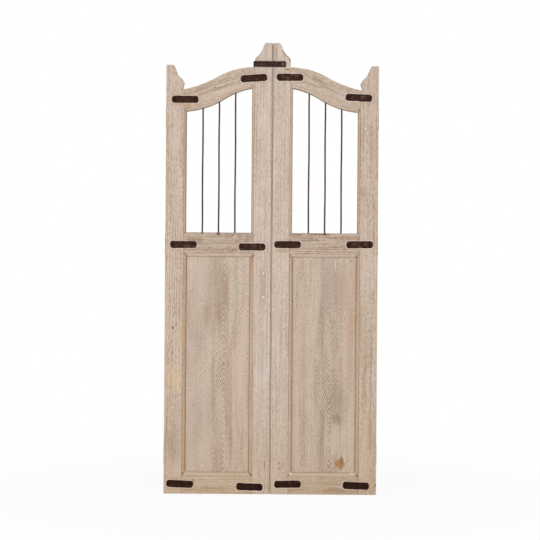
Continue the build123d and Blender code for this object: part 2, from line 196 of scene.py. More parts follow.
@dataclass
class Sketch:
    """A material being drawn: its tree, its coordinates and the shader that they end in."""

    name: str
    material: Material = field(init=False)
    tree: Tree = field(init=False)
    shader: bpy.types.ShaderNode = field(init=False)
    x: Field = field(init=False)
    y: Field = field(init=False)
    z: Field = field(init=False)

    def __post_init__(self) -> None:
        """Makes the empty material, with Object coordinates split into x, y and z."""
        self.material = bpy.data.materials.new(self.name)
        self.material.use_nodes = True
        self.tree = self.material.node_tree
        self.shader = self.tree.nodes["Principled BSDF"]
        place = self.tree.nodes.new("ShaderNodeTexCoord")
        parts = self.tree.nodes.new("ShaderNodeSeparateXYZ")
        self.tree.links.new(place.outputs["Object"], parts.inputs[0])
        self.x, self.y, self.z = (Field(self.tree, parts.outputs[n]) for n in range(3))

    def point(self, a: Field, b: Field, c: Field) -> Socket:
        """One vector from three fields."""
        node = self.tree.nodes.new("ShaderNodeCombineXYZ")
        for place, value in enumerate((a, b, c)):
            self.tree.links.new(value.socket, node.inputs[place])
        return node.outputs[0]

    def own(self, attribute: str) -> Field:
        """A number that the piece's own mesh carries at each point; 0 where it has none."""
        node = self.tree.nodes.new("ShaderNodeAttribute")
        node.attribute_name = attribute
        return Field(self.tree, node.outputs["Fac"])

    def noise(self, at: Socket, detail: float = 2.0, rough: float = 0.5) -> Field:
        """Soft noise, about 0.5, with one blotch for each unit of the vector."""
        node = self.tree.nodes.new("ShaderNodeTexNoise")
        node.inputs["Scale"].default_value = 1.0
        node.inputs["Detail"].default_value = detail
        node.inputs["Roughness"].default_value = rough
        self.tree.links.new(at, node.inputs["Vector"])
        return Field(self.tree, node.outputs[0])

    def blend(self, share: Field, under: Union[Socket, Rgb], over: Rgb) -> Socket:
        """Lays one colour over another.

        Args:
            share: How much of the upper colour shows, 0 to 1.
            under: The colour below, a socket or a linear colour.
            over: The linear colour above.

        Returns:
            The socket of the mixed colour.
        """
        node = self.tree.nodes.new("ShaderNodeMix")
        node.data_type = "RGBA"
        self.tree.links.new(share.socket, node.inputs[0])
        below, above = node.inputs[6], node.inputs[7]
        above.default_value = (*over, 1.0)
        if isinstance(under, tuple):
            below.default_value = (*under, 1.0)
        else:
            self.tree.links.new(under, below)
        return node.outputs[2]

    def finish(
        self, colour: Socket, rough: Field, height: Field, depth: float, gloss: float
    ) -> Material:
        """Joins the patterns to the shader.

        Args:
            colour: The surface's colour.
            rough: Its roughness.
            height: The relief, 0 to 1.
            depth: How deep the relief is, in metres.
            gloss: The shader's specular level.

        Returns:
            The material, ready to assign.
        """
        bump = self.tree.nodes.new("ShaderNodeBump")
        bump.inputs["Strength"].default_value = 1.0
        bump.inputs["Distance"].default_value = depth
        self.tree.links.new(height.socket, bump.inputs["Height"])
        self.tree.links.new(bump.outputs[0], self.shader.inputs["Normal"])
        self.tree.links.new(colour, self.shader.inputs["Base Color"])
        self.tree.links.new(rough.socket, self.shader.inputs["Roughness"])
        self.shader.inputs["Specular IOR Level"].default_value = gloss
        return self.material


# The gate's own lines, which the wear and the painted shade follow


@dataclass(frozen=True)
class OgeeArch:
    """The lower edge of the ogee rail, as two tangent arcs, for x counted from the middle."""

    start: tuple[float, float] = (0.0965, 1.911)
    end: tuple[float, float] = (0.404, 1.801)
    bend: tuple[float, float] = (0.222575, 1.86205)
    slope: float = 10.0

    @staticmethod
    def _centre(point: np.ndarray, way: np.ndarray, through: np.ndarray) -> tuple[np.ndarray, float]:
        """Centre and signed radius of the arc that leaves point along way and meets through.

        The centre is point + normal * r, with r = |d|^2 / (2 normal.d), d = through - point.
        """
        normal = np.array([-way[1], way[0]])
        chord = through - point
        radius = float(chord @ chord / (2 * normal @ chord))
        return point + normal * radius, radius

    def arcs(self) -> list[tuple[np.ndarray, float]]:
        """Centre and signed radius of the crown's arc and of the hollow's."""
        angle = math.radians(self.slope)
        start, bend, end = (np.array(p) for p in (self.start, self.bend, self.end))
        crown = self._centre(start, np.array([math.cos(angle), -math.sin(angle)]), bend)
        arm = bend - crown[0]
        way = np.array([-arm[1], arm[0]]) / abs(crown[1]) * math.copysign(1, crown[1])
        return [crown, self._centre(bend, way, end)]

    def above(self, sketch: Sketch, across: Field) -> Field:
        """How far a point lies above the arch, in metres, along the arch's own normal."""
        parts = []
        for centre, radius in self.arcs():
            reach = hypotenuse(across - float(centre[0]), sketch.z - float(centre[1]))
            parts.append((reach - abs(radius)) * (-math.copysign(1, radius)))
        late = across.over(self.bend[0])
        return parts[0] * (1.0 - late) + parts[1] * late


@dataclass(frozen=True)
class Openings:
    """The sight edges of a leaf's window and panel, the same on both leaves by |x|."""

    inner: float = 0.0965
    outer: float = 0.404
    sill: float = 1.230
    panel_inner: float = 0.1005
    panel_outer: float = 0.400
    panel_foot: float = 0.102
    panel_head: float = 1.116
    window_moulding: float = 0.012
    panel_moulding: float = 0.016
    shoulders: tuple[float, float] = (0.0845, 0.416)
    arch: OgeeArch = OgeeArch()

    def window_sides(self, sketch: Sketch) -> tuple[Field, Field]:
        """How far a point lies outside the window's sides, and outside its sill and arch."""
        across = sketch.x.absolute()
        middle, half = (self.inner + self.outer) / 2, (self.outer - self.inner) / 2
        sideways = (across - middle).absolute() - half
        return sideways, (self.sill - sketch.z).most(self.arch.above(sketch, across))

    def panel_sides(self, sketch: Sketch) -> tuple[Field, Field]:
        """How far a point lies outside the panel's sides, and outside its foot and head."""
        across = sketch.x.absolute()
        middle, half = (self.panel_inner + self.panel_outer) / 2, (self.panel_outer - self.panel_inner) / 2
        centre, reach = (self.panel_foot + self.panel_head) / 2, (self.panel_head - self.panel_foot) / 2
        return (across - middle).absolute() - half, (sketch.z - centre).absolute() - reach


@dataclass(frozen=True)
class StrapPlace:
    """Where a strap lies on the front: its middle, size and tilt."""

    x: float
    z: float
    tilt: float = 0.0
    length: float = 0.125
    height: float = 0.034
    corner: float = 0.008

    def outside(self, sketch: Sketch) -> Field:
        """How far a point lies outside the strap, as from a box with rounded corners."""
        along, across = turned(sketch.x - self.x, sketch.z - self.z, self.tilt)
        along = along.absolute() - (self.length / 2 - self.corner)
        across = across.absolute() - (self.height / 2 - self.corner)
        corner = hypotenuse(along.most(0.0), across.most(0.0))
        return corner + along.most(across).least(0.0) - self.corner


def strap_places(leaf: Leaf) -> dict[str, StrapPlace]:
    """The six straps of a leaf by their place's name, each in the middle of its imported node."""
    places = {}
    for name in (f"{level}_{end}" for level in LEVELS for end in ("outer", "meeting")):
        low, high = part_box(f"{leaf.word}_strap_{name}")
        tilt = STRAP_TILTS[leaf].get(name, 0.0)
        places[name] = StrapPlace((low.x + high.x) / 2, (low.z + high.z) / 2, tilt)
    return places


LEVELS = ("top", "mid", "bottom")
STRAP_TILTS: dict[Leaf, dict[str, float]] = {
    Leaf.LEFT: {"top_meeting": 4.0, "bottom_outer": -2.0, "bottom_meeting": -1.5},
    Leaf.RIGHT: {"top_outer": -2.5, "mid_outer": 0.5, "bottom_outer": -2.0, "bottom_meeting": 1.0},
}


# Finishes


@dataclass(frozen=True)
class Mark:
    """A stain, knot, nail hole, filled hole or scratch on the front of a board, or a painted highlight or
    painted shade there.

    Its colour is as it shows, 0 to 255, and it is turned by degrees towards +Z.
    """

    x: float
    z: float
    half_x: float
    half_z: float
    colour: Shown
    strength: float = 0.8
    ragged: float = 0.5
    turn: float = 0.0
    square: bool = False
    streaky: bool = False

    def lay(self, sketch: Sketch, colour: Socket, rag: Field, streak: Field) -> Socket:
        """Lays the mark over a colour.

        The mark covers the points where the ellipse's (or box's) own distance, made ragged
        by noise, is under 1.

        Args:
            sketch: The material being drawn.
            colour: The colour below.
            rag: The noise that frays the edge of a plain mark.
            streak: The noise along the fibres, which frays a streaky one.

        Returns:
            The colour with the mark on it.
        """
        frayed, edge = (streak, (1.5, 0.25)) if self.streaky else (rag, (1.15, 0.7))
        u, v = turned(sketch.x - self.x, sketch.z - self.z, self.turn)
        u, v = u * (1 / self.half_x), v * (1 / self.half_z)
        reach = u.absolute().most(v.absolute()) if self.square else hypotenuse(u, v)
        cover = (reach + (frayed - 0.5) * (2.5 * self.ragged)).rise(*edge, self.strength)
        front = sketch.y.rise(0.0, -0.004)
        return sketch.blend(cover * front, colour, srgb(*self.colour))


RUST = (150, 96, 58)
DARK_RUST = (104, 62, 44)
PALE = (232, 222, 212)
GREY = (172, 156, 145)
# The dark of holes, cracks and open mitres that have no recess of their own: the dirt in them, and painted
# shade.
HOLE_DIRT_AND_SHADE = (96, 66, 44)


def marks(*rows: tuple, streaky: bool = False) -> tuple[Mark, ...]:
    """Marks from rows of their own values, in order; streaky ones fray along the fibres."""
    return tuple(Mark(*row, streaky=streaky) for row in rows)


@dataclass(frozen=True)
class Weather:
    """The colours that weather and wear lay over every board, and the painted shade, highlight and light
    of its creases, mouldings and seam.
    """

    silvered: Rgb = srgb(219, 204, 190)
    greyed: Rgb = srgb(180, 164, 152)
    damp_foot: Rgb = srgb(199, 172, 138)
    dark_fibre: Rgb = srgb(142, 114, 92)
    fleck: Rgb = srgb(150, 122, 98)
    split: Rgb = srgb(124, 96, 74)
    moulding: Rgb = srgb(186, 150, 112)
    # Painted highlight on the level moulding bands.
    level_moulding: Rgb = srgb(216, 196, 174)
    # Painted shade on the faces beside the seam between the leaves.
    meeting_edge: Rgb = srgb(186, 144, 98)
    # Painted shade in the creases, quirks, mitres and seam, and the dark of the shoulder joints.
    grime: Rgb = srgb(116, 84, 60)
    # Painted light: a bright warm colour on the seam's inner faces, to lift the shade inside the gap.
    cleft: Rgb = srgb(214, 160, 112)
    rust_run: Rgb = srgb(168, 126, 88)
    scraped_rim: Rgb = srgb(228, 215, 203)


@dataclass(frozen=True)
class BleachedBoard:
    """Dry bleached timber: one board, as it was cut from the log and as it has worn, with some painted
    shade and highlight.

    The growth rings are cones round a pith line behind the face: the distance from the line,
    plus a share of the way along it. So the face cuts them in nested pointed arches, steep
    where the share is small, as on the panels, and in plain lines where it is nothing.
    """

    name: str
    grain: Grain
    seed: float
    pith_across: float
    pith_depth: float
    pith_lean: float = 0.0
    ring: float = 0.0042
    ring_strength: float = 0.45
    light: Rgb = srgb(215, 199, 184)
    dark: Rgb = srgb(168, 144, 124)
    warmth: float = 1.0
    figure: float = 1.0
    threads: float = 1.7
    straps: tuple[StrapPlace, ...] = ()
    shoulder_lines: bool = False
    marks: tuple[Mark, ...] = ()
    openings: Openings = Openings()
    weather: Weather = Weather()

    def _fibres(self, sketch: Sketch) -> tuple[Field, Field, Field]:
        """The point in the board's own frame: across the fibres, into the board, along them."""
        along, across = turned(sketch.z, sketch.x, self.grain.value)
        return across + self.seed, sketch.y, along + self.seed * 1.7

    def material(self) -> Material:
        """Draws the board's rings, fibres, pores, bleaching, grime and marks, and paints shade into its
        creases, gaps and seam and highlights onto its level mouldings.
        """
        sketch = Sketch(f"bleached_timber_{self.name}")
        worn = self.weather
        across, depth, along = self._fibres(sketch)

        def fibrous(wide: float, deep: float, long: float, detail: float, rough: float = 0.5) -> Field:
            """Noise drawn out along the fibres, with so many blotches a metre each way."""
            return sketch.noise(sketch.point(across * wide, depth * deep, along * long), detail, rough)

        wander, fray = fibrous(9, 9, 2.2, 2.0), fibrous(160, 60, 26, 2.0)
        from_pith = across - (self.pith_across + self.seed) + (wander - 0.5) * 0.035
        radius = hypotenuse(from_pith, depth + self.pith_depth) + along * self.pith_lean
        years = sketch.noise(sketch.point(radius * 75, along * 1.5, across * 1.5), 1.0)
        rings = radius + (fray - 0.5) * (0.42 * self.ring) + (years - 0.5) * (1.2 * self.ring)
        late = (rings * (1 / self.ring)).fraction()
        near = from_pith.absolute().rise(0.085, 0.02) * 0.75 + 0.25
        late_wood = (late ** 2.0) * late.rise(1.0, 0.86) * near

        streak = fibrous(150, 90, 9, 3.0, 0.6)
        thread = fibrous(175, 90, 1.7, 2.0, 0.6)
        fleck = fibrous(290, 160, 85, 2.0, 0.6)
        fibre = fibrous(900, 600, 70, 2.0, 0.6)
        broad = fibrous(24, 12, 3.2, 3.0, 0.55)
        cloud = sketch.noise(sketch.point(sketch.x * 9 + self.seed, sketch.y * 9, sketch.z * 5), 3.0, 0.6)
        split = sketch.noise(sketch.point(across * 330, depth * 60, along * 3.4 + 7.0), 2.0, 0.5)
        splits = split.rise(0.71, 0.79)

        shade = late_wood * self.ring_strength * broad.rise(0.25, 0.6)
        shade = shade + (thread - 0.5) * (self.threads * self.figure) + (fleck - 0.5) * (1.8 * self.figure)
        shade = shade + (streak - 0.5) * 0.5 + (fibre - 0.5) * 0.7 + (broad - 0.5) * 0.7 + 0.30
        colour = sketch.blend(shade.rise(-0.2, 1.15), self.light, self.dark)
        colour = sketch.blend(cloud.rise(0.52, 0.78, 0.45), colour, worn.silvered)
        colour = sketch.blend(broad.rise(0.50, 0.30, 0.40), colour, worn.greyed)
        foot = sketch.z.rise(0.62, 0.02) * (cloud * 0.9 + 0.35) * (0.45 * self.warmth)
        colour = sketch.blend(foot.least(0.8), colour, worn.damp_foot)
        colour = sketch.blend(fibre.rise(0.64, 0.80, 0.5), colour, worn.dark_fibre)
        colour = sketch.blend(fleck.rise(0.64, 0.80, 0.4), colour, worn.fleck)
        colour = sketch.blend(splits * 0.6, colour, worn.split)

        colour, grooves = self._edge_wear(sketch, colour, cloud, streak)
        for place in self.straps:
            colour = self._strap_halo(sketch, colour, place, cloud, streak)
        rag = sketch.noise(sketch.point(sketch.x * 140, sketch.y * 60, sketch.z * 70), 3.0, 0.6)
        for mark in self.marks:
            colour = mark.lay(sketch, colour, rag, streak)

        height = (1.0 - splits) * 0.4 + fibre * 0.25 + fleck * 0.35 + late_wood * 0.15 - grooves * 0.4
        rough = streak * 0.15 + 0.75
        return sketch.finish(colour, rough, height, 0.0007, 0.22)

    def _edge_wear(
        self, sketch: Sketch, colour: Socket, cloud: Field, streak: Field
    ) -> tuple[Socket, Field]:
        """Browns the mouldings and darkens the shoulders' joints; paints shade into the quirks behind the
        mouldings, the sight edges, the mitres and the seam, a highlight onto the level mouldings, and
        light into the seam's inner faces.

        Args:
            sketch: The material being drawn.
            colour: The board's colour so far.
            cloud: The broad noise that makes the browning and the painted shade uneven.
            streak: The finer noise along the fibres.

        Returns:
            The browned colour, and the share of the thin lines, for the relief.
        """
        worn = self.weather
        window = self.openings.window_sides(sketch)
        panel = self.openings.panel_sides(sketch)
        uneven = cloud.rise(0.25, 0.75) * 0.6 + 0.4
        traces: list[Field] = []
        for (sideways, upright), width, depth in (
            (window, self.openings.window_moulding, 0.42),
            (panel, self.openings.panel_moulding, 0.66),
        ):
            outside = sideways.most(upright)
            level = (upright - sideways).over(0.0)
            band = outside.rise(-0.003, 0.0) * outside.rise(width + 0.0012, width - 0.001)
            colour = sketch.blend(band * uneven * (1.0 - level) * depth, colour, worn.moulding)
            # Painted highlight: the level moulding bands are painted paler than the upright ones.
            colour = sketch.blend(band * level * depth * 0.55, colour, worn.level_moulding)
            # Painted shade: dark lines in the crease at the sight edge and in the quirk at the moulding's
            # edge.
            traces.append(outside.line(0.0, 0.0021, 0.62) * (1.0 - level * 0.45))
            traces.append(outside.line(width - 0.0003, 0.0017, depth) * (1.0 - level * 0.3))
            # Painted shade in the open mitres.
            mitre = (sideways - upright).absolute().rise(0.0024, 0.0009)
            traces.append(mitre * outside.rise(0.0, 0.001) * outside.rise(width + 0.001, width) * 0.85)
        if self.shoulder_lines:
            traces += [sketch.x.absolute().line(x, 0.0026, 0.9) for x in self.openings.shoulders]
        lines = reduce(Field.most, traces)
        beside = sketch.x.absolute().rise(0.0046, 0.0030)
        # Painted shade: a warm brown down the faces beside the seam between the leaves.
        colour = sketch.blend(beside * (cloud.rise(0.3, 0.6, 0.45) + 0.15), colour, worn.meeting_edge)
        # Painted shade: a darker line along the seam near its top.
        seam = beside * sketch.z.rise(1.60, 1.80, 0.4)
        # The lines and the seam line take the grime-and-crease-shade colour: painted shade in the quirks,
        # sight edges, mitres and seam, and dark joints at the shoulders.
        brown = (lines.most(seam) * (streak.rise(0.2, 0.6) * 0.35 + 0.65) * uneven).least(1.0)
        colour = sketch.blend(brown, colour, worn.grime)
        # Painted light: the seam's inner faces, behind the front, are painted bright and warm to lift the
        # shade in the gap.
        cleft = sketch.x.absolute().rise(0.0050, 0.0040) * sketch.y.rise(-0.0219, -0.0195)
        cleft = cleft * sketch.y.rise(0.000, -0.012)
        return sketch.blend(cleft * 0.85, colour, worn.cleft), lines

    def _strap_halo(
        self, sketch: Sketch, colour: Socket, place: StrapPlace, cloud: Field, streak: Field
    ) -> Socket:
        """Lays the scraped pale rim of a strap's housing, and the rust that has run from it.

        Args:
            sketch: The material being drawn.
            colour: The board's colour so far.
            place: The strap.
            cloud: The broad noise.
            streak: The noise along the fibres.

        Returns:
            The colour round the strap.
        """
        outside = place.outside(sketch) + sketch.y.rise(-0.010, 0.0)
        rust = outside.rise(0.020, 0.001) * (cloud * 0.8 + streak * 0.5 - 0.35).rise(0.1, 0.55, 0.42)
        colour = sketch.blend(rust, colour, self.weather.rust_run)
        rim = outside.rise(0.0052, 0.0028, 0.62) * (cloud.rise(0.7, 0.35) * 0.6 + 0.4)
        return sketch.blend(rim, colour, self.weather.scraped_rim)


@dataclass(frozen=True)
class ForgedIron:
    """Hand-forged iron: almost black scale, brown where the rust has broken through, and with dark_rim its
    edges painted near black, as painted shade along with their scale.
    """

    name: str
    scale_colour: Rgb = srgb(35, 20, 13)
    rust_colour: Rgb = srgb(98, 68, 54)
    pit_colour: Rgb = srgb(112, 78, 58)
    # Painted shade and scale on a strap's rim.
    rim_colour: Rgb = srgb(20, 11, 8)
    foot_colour: Rgb = srgb(34, 10, 0)
    rust_share: float = 0.6
    seed: float = 0.0
    pits: float = 420.0
    dark_rim: bool = False
    relief: float = 0.0008
    gloss: float = 0.09

    def material(self) -> Material:
        """Draws the scale, the rust patches and the pits of the hammer and of age."""
        sketch = Sketch(f"forged_iron_{self.name}")
        x, y, z = sketch.x + self.seed, sketch.y, sketch.z
        patch = sketch.noise(sketch.point(x * 55, y * 55, z * 60), 4.0, 0.6)
        pit = sketch.noise(sketch.point(x * self.pits, y * self.pits, z * self.pits), 3.0, 0.6)
        dent = sketch.noise(sketch.point(x * 90, y * 90, z * 90), 2.0, 0.4)
        rust = patch.rise(0.62 - 0.2 * self.rust_share, 0.80 - 0.2 * self.rust_share)
        colour = sketch.blend(pit.rise(0.75, 0.3, 0.35), self.scale_colour, self.rust_colour)
        colour = sketch.blend(rust * 0.85, colour, self.rust_colour)
        colour = sketch.blend(rust * pit.rise(0.50, 0.66, 0.4), colour, self.pit_colour)
        if self.dark_rim:
            # Painted shade: where dark_rim is set, the strap's edges and the margin of its face are
            # painted near black, for the shade of the rounded arrises along with their scale.
            rim = sketch.own("from_edge").rise(0.42, 0.05) * (patch.rise(0.75, 0.4) * 0.5 + 0.5)
            colour = sketch.blend(rim * 0.85, colour, self.rim_colour)
            colour = sketch.blend(sketch.z.rise(0.40, 0.10, 0.6), colour, self.foot_colour)
        rough = patch * 0.25 + pit * 0.2 + 0.58
        return sketch.finish(colour, rough, dent * 0.6 + pit * 0.4, self.relief, self.gloss)


@dataclass(frozen=True)
class StudioWhite:
    """The pale floor: it shows near white to the camera and still keeps a soft shadow."""

    name: str = "pale_floor"
    shown_white: float = 0.92
    fade: tuple[float, float] = (0.75, 2.2)

    def material(self) -> Material:
        """Mixes a white matt surface with plain white for what the camera and gloss see."""
        sketch = Sketch(self.name)
        nodes, links = sketch.tree.nodes, sketch.tree.links
        sketch.shader.inputs["Base Color"].default_value = (0.93, 0.93, 0.93, 1.0)
        sketch.shader.inputs["Roughness"].default_value = 0.9
        glow = nodes.new("ShaderNodeEmission")
        mixed = nodes.new("ShaderNodeMixShader")
        near, far = self.fade
        away = hypotenuse(sketch.x, sketch.y).rise(near, far, 1.0 - self.shown_white)
        seen = seen_directly(sketch.tree) * (away + self.shown_white)
        links.new(seen.socket, mixed.inputs[0])
        links.new(sketch.shader.outputs[0], mixed.inputs[1])
        links.new(glow.outputs[0], mixed.inputs[2])
        links.new(mixed.outputs[0], nodes["Material Output"].inputs["Surface"])
        return sketch.material


def seen_directly(tree: Tree) -> Field:
    """1 for rays from the camera, and for those of gloss and glass, else 0."""
    path = tree.nodes.new("ShaderNodeLightPath")
    camera = Field(tree, path.outputs["Is Camera Ray"])
    gloss = Field(tree, path.outputs["Is Glossy Ray"])
    return camera.most(gloss).most(Field(tree, path.outputs["Is Transmission Ray"]))


# Surfaces


def grid_faces(rows: int, columns: int, closed: bool) -> np.ndarray:
    """Quads over a grid of rows by columns points, joined round the columns where closed."""
    wide = columns if closed else columns - 1
    row, column = np.meshgrid(np.arange(rows - 1), np.arange(wide), indexing="ij")
    following = (column + 1) % columns
    corners = [row * columns + column, row * columns + following,
               (row + 1) * columns + following, (row + 1) * columns + column]
    return np.stack(corners, axis=-1).reshape(-1, 4)


def ripple(points: np.ndarray, seed: float, pitch: float) -> np.ndarray:
    """Smooth unevenness from -1 to 1: a sum of sines over the point, four ways at once.

    Args:
        points: Places, one row each.
        seed: Shifts the pattern.
        pitch: Metres from hump to hump.

    Returns:
        One number for each place.
    """
    turns = np.array([[1.0, 0.3, 0.2], [-0.4, 0.8, 1.1], [0.7, -1.2, 0.9], [1.6, 0.5, -1.3]])
    phases = seed * np.array([1.0, 2.3, 3.1, 4.7])
    weights = np.array([0.4, 0.3, 0.2, 0.1])
    return np.sin(points @ turns.T * (2 * math.pi / pitch) + phases) @ weights


def make_piece(
    name: str, points: np.ndarray, faces: np.ndarray, finish: Material,
    body: str, replaced: str, from_edge: Union[np.ndarray, None] = None,
) -> None:
    """Makes one finished piece of points and quads, doubles merged, faces turned outwards.

    Args:
        name: The piece's name.
        points: Places in the gate's frame, one row each.
        faces: Four indices a row.
        finish: Its material.
        body: The body that it rides on.
        replaced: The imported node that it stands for.
        from_edge: How far in each point lies from the face's edge, 0 to 1, for the finish.
    """
    mesh = bpy.data.meshes.new(name)
    mesh.from_pydata(points.tolist(), [], faces.tolist())
    if from_edge is not None:
        mesh.attributes.new("from_edge", "FLOAT", "POINT").data.foreach_set("value", from_edge)
    solid = bmesh.new()
    solid.from_mesh(mesh)
    bmesh.ops.remove_doubles(solid, verts=solid.verts, dist=1e-6)
    bmesh.ops.recalc_face_normals(solid, faces=solid.faces)
    solid.to_mesh(mesh)
    solid.free()
    mesh.shade_smooth()
    mesh.materials.append(finish)
    piece = bpy.data.objects.new(name, mesh)
    bpy.context.scene.collection.objects.link(piece)
    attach(piece, body)
    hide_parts(replaced)
    log.info("made %s: %d points, %d faces", name, len(mesh.vertices), len(mesh.polygons))


def wear(node: str, finish: Material) -> None:
    """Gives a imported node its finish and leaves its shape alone."""
    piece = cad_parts[node]
    piece.data.materials.clear()
    piece.data.materials.append(finish)
    log.info("dressed %s in %s", node, finish.name)


@dataclass(frozen=True)
class ForgedStrap:
    """A flat strap let in over a joint, with a filed arris and a hammered face."""

    place: StrapPlace
    seed: float
    wave: float = 0.0011
    clip: float = 0.008
    back: float = -0.0195
    thickness: float = 0.004
    around: int = 220

    def outline(self) -> tuple[np.ndarray, np.ndarray]:
        """The outline's points and the points of the middle line that each shrinks to.

        A ray at angle t meets a box with clipped corners at the least of the distances to
        its sides, ends and clips. The edge then dips inwards by a smooth wave, never out.

        Returns:
            The outline and the matching middle points, both along the strap and across it.
        """
        half_high = self.place.height / 2
        reach = self.place.length / 2 - half_high
        knots = np.cumsum([0.0, 2 * reach, math.pi * half_high, 2 * reach, math.pi * half_high])
        run = np.linspace(0, knots[-1], self.around, endpoint=False)
        t = np.interp(run, knots, [0.0, 0.0, math.pi, math.pi, 2 * math.pi])
        mid_x = np.interp(run, knots, [-reach, reach, reach, -reach, -reach])
        way_x, way_z = np.sin(t), -np.cos(t)
        steep, level = np.abs(way_x), np.abs(way_z)
        far = np.minimum.reduce([
            half_high / np.maximum(steep, 1e-6),
            half_high / np.maximum(level, 1e-6),
            (2 * half_high - self.clip) / np.maximum(steep + level, 1e-6),
        ])
        ripples = np.stack([np.sin(t) * half_high + mid_x, np.zeros_like(t), way_z * half_high], -1)
        dip = 0.5 + 0.5 * ripple(ripples, self.seed, 0.042)
        fine = 0.5 + 0.5 * ripple(ripples, self.seed * 3.3, 0.013)
        far = far - self.wave * (1.5 * dip + 0.35 * fine)
        middle = np.stack([mid_x, np.zeros_like(mid_x)], -1)
        return middle + np.stack([way_x, way_z], -1) * far[:, None], middle

    def surface(self) -> tuple[np.ndarray, np.ndarray, np.ndarray]:
        """Rings from the back's middle line, round the arris, to the face's middle line.

        Each ring is outline + (middle - outline) * share, at its own depth, and the face's
        rings sink and swell by a hammered ripple of up to 0.35 mm.

        Returns:
            The points in the gate's frame, the quads, and each point's share.
        """
        outline, middle = self.outline()
        shares = np.array([1.0, 0.5, 0.02, 0.0, 0.0, 0.015, 0.05, 0.13, 0.25, 0.4, 0.55, 0.7, 0.85, 1.0])
        depths = np.array([0, 0, 0, 0.2, 0.72, 0.90, 0.985, 1.0, 1.0, 1.0, 1.0, 1.0, 1.0, 1.0])
        spread = outline[None] + (middle - outline)[None] * shares[:, None, None]
        y = np.broadcast_to(self.back - self.thickness * depths[:, None], spread.shape[:2]).copy()
        flat = np.concatenate([spread, np.zeros((*spread.shape[:2], 1))], -1)
        dents = ripple(flat.reshape(-1, 3), self.seed * 1.9, 0.027).reshape(y.shape)
        y += dents * 0.00035 * (depths[:, None] >= 0.9) * np.clip(shares[:, None] * 6, 0, 1)
        turn = math.radians(self.place.tilt)
        x = self.place.x + spread[..., 0] * math.cos(turn) - spread[..., 1] * math.sin(turn)
        z = self.place.z + spread[..., 0] * math.sin(turn) + spread[..., 1] * math.cos(turn)
        points = np.stack([x, y, z], -1).reshape(-1, 3)
        return points, grid_faces(len(shares), self.around, True), np.repeat(shares, self.around)


@dataclass(frozen=True)
class DrawnBar:
    """A round bar, drawn by hand: a little out of round and pitted."""

    x: float
    foot: float
    head: float
    radius: float
    seed: float
    around: int = 20
    rings: int = 160

    def surface(self) -> tuple[np.ndarray, np.ndarray]:
        """A ring of radius r + ripple carried up the bar, drawn in to a point at both ends.

        Between its sockets the bar also sways sideways, as a sine of up to 0.6 mm.

        Returns:
            The points in the gate's frame, and the quads.
        """
        turn = np.linspace(0, 2 * math.pi, self.around, endpoint=False)
        up = np.concatenate([[0, 0], np.linspace(0, 1, self.rings), [1, 1]])
        width = np.concatenate([[0, 0.9], np.ones(self.rings), [0.9, 0]])
        height = self.foot + (self.head - self.foot) * up
        turn_grid, height_grid = np.meshgrid(turn, height)
        unit = np.stack([np.cos(turn_grid) * 0.02, np.sin(turn_grid) * 0.02, height_grid], -1)
        uneven = ripple(unit.reshape(-1, 3), self.seed, 0.031).reshape(unit.shape[:2])
        free = np.clip(np.minimum(up, 1 - up) * 18 - 0.6, 0, 1)[:, None]
        sway = 0.0006 * np.sin(2 * math.pi * (up * 1.5 + self.seed))[:, None] * free
        radius = (self.radius - 0.00012 + 0.00022 * uneven * free) * width[:, None]
        points = np.stack([
            self.x + sway + radius * np.cos(turn_grid), radius * np.sin(turn_grid), height_grid
        ], -1)
        return points.reshape(-1, 3), grid_faces(len(up), self.around, True)


